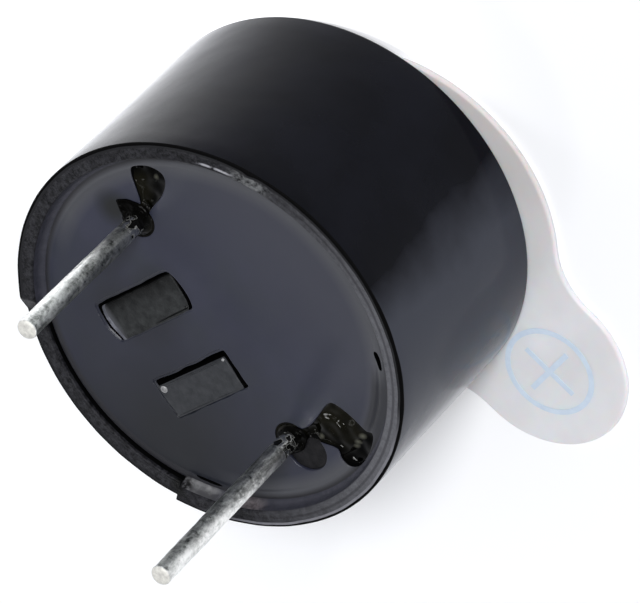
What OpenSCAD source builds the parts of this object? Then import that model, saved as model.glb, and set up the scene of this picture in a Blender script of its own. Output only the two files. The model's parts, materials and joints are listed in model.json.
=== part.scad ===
// Magnetic buzzer with its own drive circuit, two straight leads and a wash seal.
//
// Frame: Z is the axis of the case. z = 0 is the outer face of the wash seal, on
// which the buzzer stands. The leads point up, with the positive lead on +X.

/* [Case] */
// Outer diameter of the case
case_d = 12; // [11.7:0.1:14]
// Height of the case, from its front face to its rim
case_h = 7; // [6.8:0.1:9]
// Thickness of the side wall
case_wall = 0.5; // [0.4:0.05:0.6]
// Thickness of the front wall
front_wall = 0.55; // [0.4:0.05:0.7]
// Radius of the rounded front edge
front_round = 0.1; // [0.05:0.05:0.5]
// Bevel on the outer edge of the rim
rim_bevel = 0.06; // [0.04:0.02:0.2]
// Bevel on the inner edge of the rim
rim_inner_bevel = 0.06; // [0.02:0.02:0.16]
// Height of the rim above the base cover
rim_h = 0.4; // [0.25:0.05:0.5]
// Height of the rim above the base cover where it is cut down
notch_rise = 0.2; // [0.05:0.05:0.2]
// Angle over which the rim is cut down
notch_angle = 70; // [20:1:100]
// Direction of the middle of that cut, from +X
notch_heading = -86; // [-120:1:-60]
// Diameter of the sound hole in the front wall
sound_hole_d = 2.5; // [1.5:0.1:4]

/* [Base cover] */
// Thickness of the base cover's plate
cover_t = 0.5; // [0.4:0.05:0.7]
// Height of the skirt that stands the plate off the circuit board
skirt_h = 0.5; // [0.48:0.02:0.6]
// Thickness of the skirt
skirt_wall = 0.45; // [0.3:0.05:0.6]
// Gap all round between the base cover and the case
cover_gap = 0.06; // [0.02:0.01:0.1]
// Bevel on the plate's outer edge
cover_bevel = 0.05; // [0.02:0.01:0.08]
// Gap round a lead's wire where it passes through the base cover
lead_hole_gap = 0.14; // [0.05:0.01:0.2]

/* [Component windows] */
// Narrow gap between a component and the sides of its window
window_gap = 0.05; // [0.03:0.01:0.1]
// Open slot at the end of the diode's window nearest the sealant ports
diode_slot = 0.42; // [0.2:0.02:0.6]
// Open slot along two sides of the transistor
transistor_slot = 0.17; // [0.08:0.01:0.25]
// Rise of the curved ends of the diode and of its window
end_bow = 0.14; // [0.05:0.01:0.2]
// Width of the shallow rebate round each window
rebate_w = 0.07; // [0.03:0.01:0.12]
// Depth of the rebate
rebate_depth = 0.06; // [0.03:0.01:0.12]

/* [Sealant] */
// Width of both sealant ports at the lead
port_throat = 0.3; // [0.2:0.05:0.8]
// Direction of the positive port's outer side from the lead, from +X
outer_side_positive = 58; // [50:1:65]
// Direction of the positive port's inner side from the lead, from +X
inner_side_positive = 104; // [90:1:110]
// Length of the positive port's inner side
inner_side_l_positive = 2; // [1.6:0.1:2.2]
// Direction from the axis in which the positive port meets the case
port_end_positive = 31; // [28:1:36]
// Direction of the negative port's outer side from the lead, from -X
outer_side_negative = 40; // [30:1:45]
// Direction of the negative port's inner side from the lead, from -X
inner_side_negative = 72; // [65:1:90]
// Length of the negative port's inner side
inner_side_l_negative = 1.45; // [1.2:0.05:1.7]
// Direction from the axis in which the negative port meets the case
port_end_negative = 22; // [20:1:26]
// Width of the slot that runs on from the positive port along the cover's edge
edge_slot_w = 0.7; // [0.4:0.05:0.8]
// Direction from the axis in which that slot starts
edge_slot_start = 14; // [12:1:18]
// Diameter of the round pocket beside the positive lead
pocket_d = 1.24; // [1:0.02:1.6]
// Depth of the pocket
pocket_depth = 0.15; // [0.1:0.01:0.25]
// Distance of the pocket's middle from the lead, along X
pocket_dx = 0.5; // [0.3:0.05:0.6]
// Distance of the pocket's middle from the lead, along Y
pocket_dy = 0.2; // [0.1:0.05:0.4]
// How far the sealant lies below the outer face of the base cover
sealant_drop = 0.06; // [0.02:0.01:0.09]
// Diameter of the bead of sealant round each lead
bead_d = 1; // [0.9:0.05:1.2]
// Height of the bead above the sealant
bead_h = 0.24; // [0.1:0.02:0.35]

/* [Leads] */
// Distance between the two leads
lead_pitch = 7.25; // [6.9:0.05:7.6]
// Diameter of each lead over its tin
lead_d = 0.6; // [0.45:0.05:0.7]
// Thickness of the tin on the length of lead that is dipped
tin_t = 0.02; // [0.01:0.01:0.04]
// Distance from the base cover to the start of the tin
tin_start = 0.8; // [0.5:0.05:0.9]
// Length of the positive lead beyond the rim
lead_l_positive = 6.5; // [4:0.1:12]
// Length of the negative lead beyond the rim
lead_l_negative = 5.3; // [3:0.1:10]
// Length of each lead left in front of the circuit board
lead_tail = 0.15; // [0.05:0.05:0.2]
// Bevel on the tip of each lead
lead_tip_bevel = 0.1; // [0.02:0.02:0.16]

/* [Circuit board] */
// Thickness of the circuit board
board_t = 0.4; // [0.3:0.05:0.6]
// Gap all round between the circuit board and the case
board_gap = 0.06; // [0.02:0.01:0.1]
// Space between the circuit board and the yoke plate
board_stand_off = 0.3; // [0.25:0.05:0.5]
// Gap round a lead's wire in the circuit board
board_hole_gap = 0.1; // [0.04:0.01:0.14]
// Diameter of the solder fillet round each lead
solder_d = 1.3; // [1.1:0.05:1.5]
// Height of the solder fillet round each lead
solder_h = 0.35; // [0.2:0.05:0.45]

/* [Components] */
// Width of the transistor's body
transistor_w = 1; // [0.9:0.05:1.2]
// Length of the transistor's body
transistor_l = 2.6; // [2:0.05:2.8]
// Height of the transistor's body
transistor_h = 0.95; // [0.8:0.05:0.95]
// Place of the transistor's middle along X
transistor_x = 1.26; // [1.2:0.01:1.3]
// Place of the transistor's middle along Y
transistor_y = -1.7; // [-1.8:0.05:-1.5]
// Width of the diode's body
diode_w = 1.14; // [0.8:0.02:1.2]
// Length of the diode's body over its curved ends
diode_l = 2.7; // [1.8:0.05:2.8]
// Height of the diode's body
diode_h = 0.8; // [0.55:0.05:0.9]
// Place of the diode's middle along X
diode_x = -1.41; // [-1.5:0.01:-1.3]
// Place of the diode's middle along Y
diode_y = -1.9; // [-2:0.05:-1.7]
// Width of a component leg
leg_w = 0.35; // [0.25:0.05:0.4]
// Length of a component leg's foot
leg_l = 0.4; // [0.3:0.05:0.45]
// Thickness of a component leg
leg_t = 0.1; // [0.08:0.01:0.12]
// Height at which a leg enters its component
leg_h = 0.35; // [0.25:0.05:0.4]
// How far the transistor's outer legs lie in from the ends of its body
leg_inset = 0.06; // [0:0.02:0.2]
// Length of the resistor
resistor_l = 1.6; // [1:0.1:2]
// Width of the resistor
resistor_w = 0.8; // [0.5:0.1:1]
// Height of the resistor
resistor_h = 0.42; // [0.3:0.02:0.44]
// Distance of the resistor from the case's axis
resistor_y = 3.7; // [3.4:0.1:3.9]
// Length of each metal end on the resistor
resistor_cap_l = 0.3; // [0.2:0.05:0.4]

/* [Magnet and diaphragm] */
// Depth of the sound chamber in front of the diaphragm
chamber_h = 0.85; // [0.7:0.05:1.2]
// Thickness of the diaphragm
diaphragm_t = 0.06; // [0.04:0.01:0.1]
// Width of the diaphragm's seat on the support ring
diaphragm_seat = 0.5; // [0.35:0.05:0.55]
// Diameter of the iron armature disc
armature_d = 3.6; // [3:0.1:4.4]
// Thickness of the armature disc
armature_t = 0.35; // [0.2:0.05:0.5]
// Air gap between the diaphragm and the tip of the core
air_gap = 0.24; // [0.15:0.01:0.35]
// Gap between the diaphragm and the ring magnet
magnet_gap = 0.45; // [0.4:0.05:0.7]
// Bore of the ring magnet, as a share of its outer diameter
magnet_bore_share = 0.7; // [0.65:0.01:0.75]
// Gap between the ring magnet and the support ring
magnet_clearance = 0.2; // [0.1:0.05:0.25]
// Thickness of the yoke plate
yoke_t = 0.6; // [0.4:0.05:0.8]
// Width of the yoke plate's seat on the support ring
yoke_seat = 0.5; // [0.35:0.05:0.55]
// Diameter of the core
core_d = 1.7; // [1.3:0.1:2]
// Diameter of the core's riveted head
rivet_d = 2.4; // [2.2:0.1:2.8]
// Height of the core's riveted head
rivet_h = 0.12; // [0.05:0.01:0.2]

/* [Coil] */
// Thickness of the bobbin's barrel
barrel_wall = 0.2; // [0.15:0.05:0.35]
// Thickness of the bobbin's flanges
flange_t = 0.25; // [0.2:0.05:0.35]
// Gap between the core and the bobbin
bobbin_gap = 0.03; // [0.01:0.01:0.06]
// Gap between the bobbin's flanges and the ring magnet
flange_gap = 0.08; // [0.04:0.01:0.15]
// How far the bobbin lies behind the tip of the core
bobbin_setback = 0.1; // [0.05:0.05:0.2]
// How far the winding lies inside the edge of the flanges
winding_inset = 0.14; // [0.05:0.01:0.3]
// Diameter of the wire at the coil's two ends
coil_wire_d = 0.1; // [0.06:0.01:0.14]
// Gap round the coil wire in the flange, the yoke plate and the circuit board
coil_wire_gap = 0.08; // [0.04:0.01:0.1]
// Direction of the first coil wire from the axis, from +X
coil_wire_heading = 60; // [50:1:70]
// Diameter of the solder dot round each coil wire
dot_d = 0.6; // [0.5:0.05:0.7]
// Height of the solder dot
dot_h = 0.16; // [0.1:0.02:0.25]

/* [Support ring] */
// Thickness of the support ring's wall beside the ring magnet
ring_wall = 1.15; // [1:0.05:1.4]
// Gap all round between the support ring and the case
ring_gap = 0.05; // [0.02:0.01:0.1]
// Gap round the diaphragm and the yoke plate in the support ring
ring_seat_gap = 0.05; // [0.02:0.01:0.08]

/* [Wash seal] */
// Diameter of the round part of the seal
seal_d = 10.4; // [9.6:0.1:12]
// Thickness of the seal
seal_t = 0.2; // [0.12:0.02:0.4]
// How far the seal is stuck off the middle, along X
seal_x = 0.8; // [-1:0.05:1]
// How far the seal is stuck off the middle, along Y
seal_y = 1.45; // [-1.5:0.05:1.5]
// Direction of the pull tab, from +X
tab_heading = 15; // [0:1:40]
// Distance from the edge of the round part to the middle of the tab's round end
tab_neck = 0.7; // [0.4:0.1:3]
// Width of the tab
tab_w = 5.2; // [4:0.1:5.6]
// Radius of the fillet between the tab and the round part
tab_fillet = 2.3; // [0.5:0.1:3]
// Diameter of the printed ring on the tab
mark_d = 2.76; // [2:0.02:3.2]
// Distance from the middle of the tab's round end to the middle of the mark
mark_offset = 0.28; // [0:0.02:0.4]
// Length of each stroke of the printed plus sign
mark_stroke = 1.8; // [1:0.05:1.85]
// Width of the printed lines
mark_line = 0.16; // [0.08:0.02:0.2]
// Depth of the ink in the film
ink_depth = 0.03; // [0.01:0.01:0.05]

/* [Hidden] */

$fn = 96;

// How far a cutting shape reaches past the face that it cuts
over = 1;

// Thickness of the solder round a wire at the top of its fillet
solder_lip = 0.04;

// How far a diode leg stands in the curve of the diode's end
leg_sink = 0.03;

// Radii
case_r = case_d / 2;
bore_r = case_r - case_wall;
cover_r = bore_r - cover_gap;
skirt_bore_r = cover_r - skirt_wall;
board_r = bore_r - board_gap;
ring_r = bore_r - ring_gap;
ring_bore_r = ring_r - ring_wall;
diaphragm_r = ring_bore_r + diaphragm_seat;
yoke_r = ring_bore_r + yoke_seat;
magnet_r = ring_bore_r - magnet_clearance;
magnet_bore_r = magnet_r * magnet_bore_share;
lead_r = lead_d / 2;
wire_r = lead_r - tin_t;
core_r = core_d / 2;
barrel_r = core_r + bobbin_gap + barrel_wall;
flange_r = magnet_bore_r - flange_gap;
winding_r = flange_r - winding_inset;
coil_wire_r = coil_wire_d / 2;
coil_hole_r = coil_wire_r + coil_wire_gap;

// Heights, from the rim down to the yoke plate
z_front = seal_t;
z_rim = z_front + case_h;
z_base = z_rim - rim_h;
z_cover_inner = z_base - cover_t;
z_board_back = z_cover_inner - skirt_h;
z_board_front = z_board_back - board_t;
z_yoke_back = z_board_front - board_stand_off;
z_yoke_front = z_yoke_back - yoke_t;
z_sealant = z_base - sealant_drop;
z_tin = z_base + tin_start;
z_lead_end = z_board_front - lead_tail;

// Heights, from the front wall up to the magnet
z_chamber = z_front + front_wall;
z_diaphragm = z_chamber + chamber_h;
z_diaphragm_back = z_diaphragm + diaphragm_t;
z_core_tip = z_diaphragm_back + air_gap;
z_magnet_tip = z_diaphragm_back + magnet_gap;
z_bobbin_tip = z_core_tip + bobbin_setback;
z_winding_back = z_yoke_front - flange_t;

// Places of the parts on the circuit board
diode_place = [diode_x, diode_y];
transistor_place = [transistor_x, transistor_y];
coil_wire_ring_r = winding_r - coil_hole_r;
coil_wire_headings = [coil_wire_heading, 180 - coil_wire_heading];

// Where the small parts' legs stand: how far along the body, and on which side
transistor_feet = [[-1, -1], [-1, 1], [1, 0]];
foot_spread = (transistor_l - leg_w) / 2 - leg_inset;

// The tab, in the seal's own frame. The largest fillet ends where the tab's round
// end begins.
seal_r = seal_d / 2;
tab_r = tab_w / 2;
tab_reach = seal_r + tab_neck;
largest_fillet = (pow(tab_reach, 2) - pow(seal_r, 2) + pow(tab_r, 2))
    / (2 * (seal_r - tab_r));
tab_fillet_r = min(tab_fillet, largest_fillet);
mark_reach = tab_reach + mark_offset;

// ---------------------------------------------------------------- helpers

// A ring or tube that stands between two heights
module tube(outer, inner, low, high) {
    translate([0, 0, low])
        linear_extrude(high - low)
            difference() {
                circle(outer);
                circle(inner);
            }
}

// A plain round bar between two heights
module bar(radius, low, high) {
    translate([0, 0, low]) cylinder(r = radius, h = high - low);
}

// A block that stands on a height, centred on a point
module block(place, size, low) {
    translate([place.x - size.x / 2, place.y - size.y / 2, low]) cube(size);
}

// Puts its children at both ends of the coil's winding
module at_coil_ends() {
    for (heading = coil_wire_headings)
        rotate(heading) translate([coil_wire_ring_r, 0, 0]) children();
}

// Puts its children at a lead: side is 1 for the positive lead and -1 for the negative
module at_lead(side) {
    translate([side * lead_pitch / 2, 0, 0]) children();
}

// ---------------------------------------------------------------- case

// Half section of the case, with its rounded front edge and bevelled rim
module case_section() {
    difference() {
        union() {
            translate([0, z_front + front_round])
                square([case_r, case_h - front_round - rim_bevel]);
            translate([0, z_front]) square([case_r - front_round, front_round]);
            translate([case_r - front_round, z_front + front_round]) circle(front_round);
            polygon([
                [0, z_rim - rim_bevel], [case_r, z_rim - rim_bevel],
                [case_r - rim_bevel, z_rim], [0, z_rim]
            ]);
        }
        translate([0, z_chamber]) square([bore_r, case_h]);
        translate([0, z_front - over]) square([sound_hole_d / 2, front_wall + 2 * over]);
        polygon([
            [bore_r, z_rim - rim_inner_bevel], [bore_r + rim_inner_bevel, z_rim],
            [bore_r, z_rim]
        ]);
    }
}

// Wedge that takes the rim down to notch_rise above the base cover over notch_angle
module rim_notch() {
    reach = case_r / cos(notch_angle / 2) + over;
    translate([0, 0, z_base + notch_rise])
        linear_extrude(rim_h + over)
            rotate(notch_heading)
                polygon([
                    [0, 0],
                    reach * [cos(notch_angle / 2), -sin(notch_angle / 2)],
                    reach * [cos(notch_angle / 2), sin(notch_angle / 2)]
                ]);
}

module case() {
    color("#1c1e23")
        difference() {
            rotate_extrude($fn = 180) case_section();
            rim_notch();
        }
}

// ---------------------------------------------------------------- base cover

// Half of a disc, cut to a straight-sided strip
module bowed_end(half_w, end_r) {
    intersection() {
        circle(end_r);
        translate([-half_w, 0]) square([2 * half_w, end_r]);
    }
}

// Straight-sided outline from y = low to y = high, whose two ends are arcs that rise
// by end_bow
module bowed_outline(half_w, low, high) {
    end_r = (half_w * half_w + end_bow * end_bow) / (2 * end_bow);
    translate([-half_w, low + end_bow]) square([2 * half_w, high - low - 2 * end_bow]);
    translate([0, high - end_r]) bowed_end(half_w, end_r);
    translate([0, low + end_r]) mirror([0, 1]) bowed_end(half_w, end_r);
}

module diode_outline() {
    bowed_outline(diode_w / 2, -diode_l / 2, diode_l / 2);
}

// Outline of the diode's window, wider by grow on every side
module diode_window(grow) {
    bowed_outline(diode_w / 2 + window_gap + grow, -diode_l / 2 - window_gap - grow,
        diode_l / 2 + diode_slot + grow);
}

// Outline of the transistor's window, wider by grow on every side
module transistor_window(grow) {
    narrow = window_gap + grow;
    wide = transistor_slot + grow;
    translate([-transistor_w / 2 - wide, -transistor_l / 2 - narrow])
        square([transistor_w, transistor_l] + (wide + narrow) * [1, 1]);
}

// Both windows, wider by grow on every side
module window_outlines(grow) {
    translate(diode_place) diode_window(grow);
    translate(transistor_place) transistor_window(grow);
}

// Outline of a sealant port, which fans out from the lead to the case and ends at
// edge_r. It is drawn at the positive lead and mirrored for the negative.
module port_outline(side, outer_side, inner_side, inner_side_l, port_end, edge_r) {
    lead_place = [lead_pitch / 2, 0];
    past_case = case_r + over;
    intersection() {
        circle(edge_r, $fn = 180);
        mirror([side < 0 ? 1 : 0, 0])
            polygon([
                lead_place + [port_throat / 2, 0],
                lead_place + case_r / 2 * [cos(outer_side), sin(outer_side)],
                past_case * [cos(port_end), sin(port_end)],
                lead_place + inner_side_l * [cos(inner_side), sin(inner_side)],
                lead_place - [port_throat / 2, 0]
            ]);
    }
}

// Slot that runs on from the positive port along the edge of the cover
module edge_slot_outline(edge_r) {
    reach = case_r + over;
    intersection() {
        difference() {
            circle(edge_r, $fn = 180);
            circle(cover_r - edge_slot_w, $fn = 180);
        }
        polygon([
            [0, 0], reach * [cos(edge_slot_start), sin(edge_slot_start)],
            reach * [cos(port_end_positive), sin(port_end_positive)]
        ]);
    }
}

// All that is open at one lead, out to edge_r: the sealant port and the lead's hole
module lead_opening(side, edge_r) {
    if (side > 0) {
        port_outline(side, outer_side_positive, inner_side_positive,
            inner_side_l_positive, port_end_positive, edge_r);
        edge_slot_outline(edge_r);
    } else {
        port_outline(side, outer_side_negative, inner_side_negative,
            inner_side_l_negative, port_end_negative, edge_r);
    }
    at_lead(side) circle(wire_r + lead_hole_gap);
}

// Round pocket beside the positive lead
module pocket_outline() {
    at_lead(1) translate([pocket_dx, pocket_dy]) circle(pocket_d / 2);
}

// The base cover's plate and skirt before anything is cut in them
module cover_blank() {
    rotate_extrude($fn = 180)
        polygon([
            [0, z_cover_inner], [skirt_bore_r, z_cover_inner], [skirt_bore_r, z_board_back],
            [cover_r, z_board_back], [cover_r, z_base - cover_bevel],
            [cover_r - cover_bevel, z_base], [0, z_base]
        ]);
}

// The opening at a lead as it is cut through the plate. It leaves the skirt whole.
module lead_cut(side) {
    translate([0, 0, z_cover_inner])
        linear_extrude(cover_t + over) lead_opening(side, case_r);
    translate([0, 0, z_cover_inner - over])
        linear_extrude(cover_t + over) lead_opening(side, skirt_bore_r);
}

module base_cover() {
    color("#3e404a")
        difference() {
            cover_blank();
            translate([0, 0, z_cover_inner - over])
                linear_extrude(cover_t + 2 * over) window_outlines(0);
            translate([0, 0, z_base - rebate_depth])
                linear_extrude(rebate_depth + over) window_outlines(rebate_w);
            translate([0, 0, z_base - pocket_depth])
                linear_extrude(pocket_depth + over) pocket_outline();
            for (side = [-1, 1]) {
                lead_cut(side);
                at_lead(side) bar(bead_d / 2, z_sealant, z_base + over);
            }
        }
}

// ---------------------------------------------------------------- sealant

// Dome of sealant round a lead: the cap of a ball
module bead() {
    bead_r = bead_d / 2;
    ball_r = (bead_r * bead_r + bead_h * bead_h) / (2 * bead_h);
    intersection() {
        translate([0, 0, z_sealant + bead_h - ball_r]) sphere(ball_r);
        bar(bead_r + over, z_sealant, z_sealant + bead_h);
    }
}

// Sealant that closes the opening at one lead. The positive lead's wets the pocket.
module sealant(side) {
    difference() {
        union() {
            translate([0, 0, z_cover_inner])
                linear_extrude(z_sealant - z_cover_inner) lead_opening(side, bore_r);
            if (side > 0)
                translate([0, 0, z_base - pocket_depth])
                    linear_extrude(pocket_depth - sealant_drop) pocket_outline();
            at_lead(side) bead();
        }
        at_lead(side) bar(wire_r, z_board_back, z_rim + over);
    }
}

module sealant_positive() {
    color("#1d1c18") sealant(1);
}

module sealant_negative() {
    color("#1d1c18") sealant(-1);
}

// ---------------------------------------------------------------- leads

// One straight lead, tinned from a little above the base cover to its bevelled tip.
// Below the tin its bare wire runs down through the circuit board.
module lead(side, length) {
    tip = z_rim + length;
    at_lead(side)
        rotate_extrude()
            polygon([
                [lead_r, z_tin], [lead_r, tip - lead_tip_bevel],
                [lead_r - lead_tip_bevel, tip], [0, tip],
                [0, z_lead_end], [wire_r, z_lead_end], [wire_r, z_tin]
            ]);
}

module lead_positive() {
    color("#b9bcc0") lead(1, lead_l_positive);
}

module lead_negative() {
    color("#b9bcc0") lead(-1, lead_l_negative);
}

// ---------------------------------------------------------------- circuit board

module circuit_board() {
    hole_r = wire_r + board_hole_gap;
    color("#2f6b45")
        difference() {
            bar(board_r, z_board_front, z_board_back, $fn = 180);
            for (side = [-1, 1])
                at_lead(side) bar(hole_r, z_board_front - over, z_board_back + over);
            at_coil_ends() bar(coil_hole_r, z_board_front - over, z_board_back + over);
        }
}

// Cone of solder round a wire that comes up through the circuit board
module solder_fillet(foot_r, inner_r, height) {
    difference() {
        translate([0, 0, z_board_back])
            cylinder(r1 = foot_r, r2 = inner_r + solder_lip, h = height);
        bar(inner_r, z_board_back - over, z_board_back + height + over);
    }
}

module solder_positive() {
    color("#c8cace") at_lead(1) solder_fillet(solder_d / 2, wire_r, solder_h);
}

module solder_negative() {
    color("#c8cace") at_lead(-1) solder_fillet(solder_d / 2, wire_r, solder_h);
}

module solder_coil_ends() {
    color("#c8cace") at_coil_ends() solder_fillet(dot_d / 2, coil_wire_r, dot_h);
}

// ---------------------------------------------------------------- components

// Bent leg: a foot on the board and a riser against the body. It points away
// from the body along +X, with the body's side at x = 0.
module bent_leg() {
    translate([0, -leg_w / 2, z_board_back]) cube([leg_l, leg_w, leg_t]);
    translate([0, -leg_w / 2, z_board_back]) cube([leg_t, leg_w, leg_h]);
}

module transistor_body() {
    color("#2a2b2d")
        block(transistor_place, [transistor_w, transistor_l, transistor_h], z_board_back);
}

module transistor_legs() {
    color("#c4c6c8")
        for (foot = transistor_feet)
            translate(transistor_place)
                mirror([foot.x < 0 ? 1 : 0, 0, 0])
                    translate([transistor_w / 2, foot.y * foot_spread, 0]) bent_leg();
}

module diode_body() {
    color("#28292a")
        translate([diode_x, diode_y, z_board_back]) linear_extrude(diode_h) diode_outline();
}

// The legs stand in the curve of the body's ends
module diode_legs() {
    color("#c4c6c8")
        difference() {
            for (end = [90, 270])
                translate(diode_place)
                    rotate(end) translate([diode_l / 2 - leg_sink, 0, 0]) bent_leg();
            diode_body();
        }
}

module resistor_body() {
    color("#22242a")
        block([0, resistor_y], [resistor_l - 2 * resistor_cap_l, resistor_w, resistor_h],
            z_board_back);
}

module resistor_caps() {
    cap_x = (resistor_l - resistor_cap_l) / 2;
    color("#c4c6c8")
        for (side = [-1, 1])
            block([side * cap_x, resistor_y], [resistor_cap_l, resistor_w, resistor_h],
                z_board_back);
}

// ---------------------------------------------------------------- magnet and diaphragm

module diaphragm() {
    color("#a7a9ac") bar(diaphragm_r, z_diaphragm, z_diaphragm_back, $fn = 180);
}

module armature_disc() {
    color("#7d7f83") bar(armature_d / 2, z_diaphragm - armature_t, z_diaphragm);
}

// Ring that locates the diaphragm at the front and the yoke plate at the back
module support_ring() {
    color("#d8d4c6") {
        tube(ring_r, diaphragm_r + ring_seat_gap, z_chamber, z_diaphragm_back, $fn = 180);
        tube(ring_r, ring_bore_r, z_diaphragm_back, z_yoke_front, $fn = 180);
        tube(ring_r, yoke_r + ring_seat_gap, z_yoke_front, z_board_front, $fn = 180);
    }
}

module ring_magnet() {
    color("#45403c") tube(magnet_r, magnet_bore_r, z_magnet_tip, z_yoke_front);
}

module yoke_plate() {
    color("#8f9297")
        difference() {
            bar(yoke_r, z_yoke_front, z_yoke_back, $fn = 180);
            bar(core_r, z_yoke_front - over, z_yoke_back + over);
            at_coil_ends() bar(coil_hole_r, z_yoke_front - over, z_yoke_back + over);
        }
}

// Iron core, riveted over at the back of the yoke plate
module core() {
    color("#9a9da2") {
        bar(core_r, z_core_tip, z_yoke_back + rivet_h);
        bar(rivet_d / 2, z_yoke_back, z_yoke_back + rivet_h);
    }
}

// ---------------------------------------------------------------- coil

module bobbin() {
    bobbin_bore_r = core_r + bobbin_gap;
    color("#e6e3da")
        difference() {
            union() {
                tube(barrel_r, bobbin_bore_r, z_bobbin_tip, z_yoke_front);
                tube(flange_r, bobbin_bore_r, z_bobbin_tip, z_bobbin_tip + flange_t);
                tube(flange_r, bobbin_bore_r, z_winding_back, z_yoke_front);
            }
            at_coil_ends() bar(coil_hole_r, z_winding_back, z_yoke_front + over);
        }
}

module coil_winding() {
    color("#b5692f") tube(winding_r, barrel_r, z_bobbin_tip + flange_t, z_winding_back);
}

module coil_end_wires() {
    color("#b5692f") at_coil_ends() bar(coil_wire_r, z_winding_back, z_board_back + dot_h);
}

// ---------------------------------------------------------------- wash seal

// Places its children in the seal's own frame, with the tab along +X
module at_seal() {
    translate([seal_x, seal_y, 0]) rotate(tab_heading) children();
}

// Corner between the tab and the round part, filled up to a concave arc
module tab_corner() {
    fillet_y = tab_r + tab_fillet_r;
    fillet_x = sqrt(pow(seal_r + tab_fillet_r, 2) - pow(fillet_y, 2));
    difference() {
        polygon([[0, 0], [fillet_x, 0], [fillet_x, fillet_y]]);
        translate([fillet_x, fillet_y]) circle(tab_fillet_r, $fn = 180);
    }
}

module seal_outline() {
    circle(seal_r, $fn = 180);
    translate([0, -tab_r]) square([tab_reach, tab_w]);
    translate([tab_reach, 0]) circle(tab_r, $fn = 180);
    tab_corner();
    mirror([0, 1]) tab_corner();
}

// Printed mark: a plus sign in a ring
module mark_outline() {
    translate([mark_reach, 0]) {
        difference() {
            circle((mark_d + mark_line) / 2);
            circle((mark_d - mark_line) / 2);
        }
        square([mark_stroke, mark_line], center = true);
        square([mark_line, mark_stroke], center = true);
    }
}

// The ink lies flush in both faces of the film, because the print shows through it
module ink() {
    for (low = [0, seal_t - ink_depth])
        translate([0, 0, low]) linear_extrude(ink_depth) mark_outline();
}

module seal() {
    color("#dcdadd")
        at_seal()
            difference() {
                linear_extrude(seal_t) seal_outline();
                ink();
            }
}

module polarity_print() {
    color("#b4c2d6") at_seal() ink();
}

// ---------------------------------------------------------------- the buzzer

case();
base_cover();
seal();
polarity_print();
diaphragm();
armature_disc();
support_ring();
ring_magnet();
yoke_plate();
core();
bobbin();
coil_winding();
coil_end_wires();
circuit_board();
transistor_body();
transistor_legs();
diode_body();
diode_legs();
resistor_body();
resistor_caps();
lead_positive();
lead_negative();
solder_positive();
solder_negative();
solder_coil_ends();
sealant_positive();
sealant_negative();
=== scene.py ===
import json
import math

import bpy
import numpy as np
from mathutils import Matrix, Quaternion, Vector, noise
from mathutils.geometry import delaunay_2d_cdt


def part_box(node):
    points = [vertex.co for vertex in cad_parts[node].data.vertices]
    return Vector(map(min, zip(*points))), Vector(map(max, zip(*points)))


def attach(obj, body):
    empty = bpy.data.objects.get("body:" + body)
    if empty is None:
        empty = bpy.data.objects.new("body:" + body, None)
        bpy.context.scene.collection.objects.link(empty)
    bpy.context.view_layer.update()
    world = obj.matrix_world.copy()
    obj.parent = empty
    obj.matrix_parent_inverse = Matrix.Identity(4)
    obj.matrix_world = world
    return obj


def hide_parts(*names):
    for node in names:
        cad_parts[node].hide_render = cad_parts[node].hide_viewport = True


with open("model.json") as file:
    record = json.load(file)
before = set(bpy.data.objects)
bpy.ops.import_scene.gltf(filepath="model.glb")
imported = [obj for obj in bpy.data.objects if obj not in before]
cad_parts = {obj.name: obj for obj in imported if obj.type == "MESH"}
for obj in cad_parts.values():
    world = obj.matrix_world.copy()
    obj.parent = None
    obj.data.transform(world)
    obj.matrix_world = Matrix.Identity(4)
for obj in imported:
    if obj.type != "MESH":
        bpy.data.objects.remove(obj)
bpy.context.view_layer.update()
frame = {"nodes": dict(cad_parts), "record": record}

MM = 0.001

# ------ sizes, in millimetres


def node_box(node):
    """The lowest and the highest corner of a CAD node."""
    low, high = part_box(node)
    return [v / MM for v in low], [v / MM for v in high]


(_, _, Z_FRONT), (CASE_R, _, Z_RIM) = node_box("case")
(_, _, Z_BOARD_BACK), (COVER_R, _, Z_BASE) = node_box("base_cover")
(_, _, Z_COVER_INNER), _ = node_box("sealant_positive")
# The case
BORE_R = CASE_R - 0.5
Z_CHAMBER = Z_FRONT + 0.55
FRONT_ROUND = 0.1
RIM_BEVEL, RIM_SHOULDER, INNER_BEVEL = 0.06, 0.09, 0.06
BURR_RISE = 0.05
SOUND_HOLE_R = 1.25
NOTCH_FROM, NOTCH_TO = -121, -51
NOTCH_MIDDLE = (NOTCH_FROM + NOTCH_TO) / 2
NOTCH_RISE, NOTCH_BOW = 0.2, 0.04
FOOT_W, FOOT_DROP, FOOT_DEPTH = 0.16, 0.27, 0.3
# The cover and the bodies in its windows
COVER_BEVEL = 0.05
SKIRT_R = COVER_R - 0.45
CUT_EDGE = 0.03
PORT_EDGE = 0.035
CUT_WALL = 0.012
REBATE_W, REBATE_SHIFT, REBATE_DEPTH, REBATE_WALL = 0.05, 0.03, 0.06, 0.04
POCKET_DEPTH = 0.15
SLIT_DEPTH = 0.3
BODY_EDGE = 0.05
# The faint ring in the cover: its middle, radius, width and depth, and the rise outside it
RING_Y, RING_R, RING_W, RING_DEPTH, RING_RISE = -0.1, 5.1, 0.06, 0.03, 0.03
# The sealant and the leads
Z_SEALANT = Z_BASE - 0.06
BEAD_R, BEAD_H = 0.5, 0.24
LEAD_X, LEAD_R, HOLE_R = 3.625, 0.3, 0.42
WIRE_R = 0.28
Z_TIN = Z_BASE + 0.8
TIP_ROUND = 0.12
CUT_END = 0.065
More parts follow.
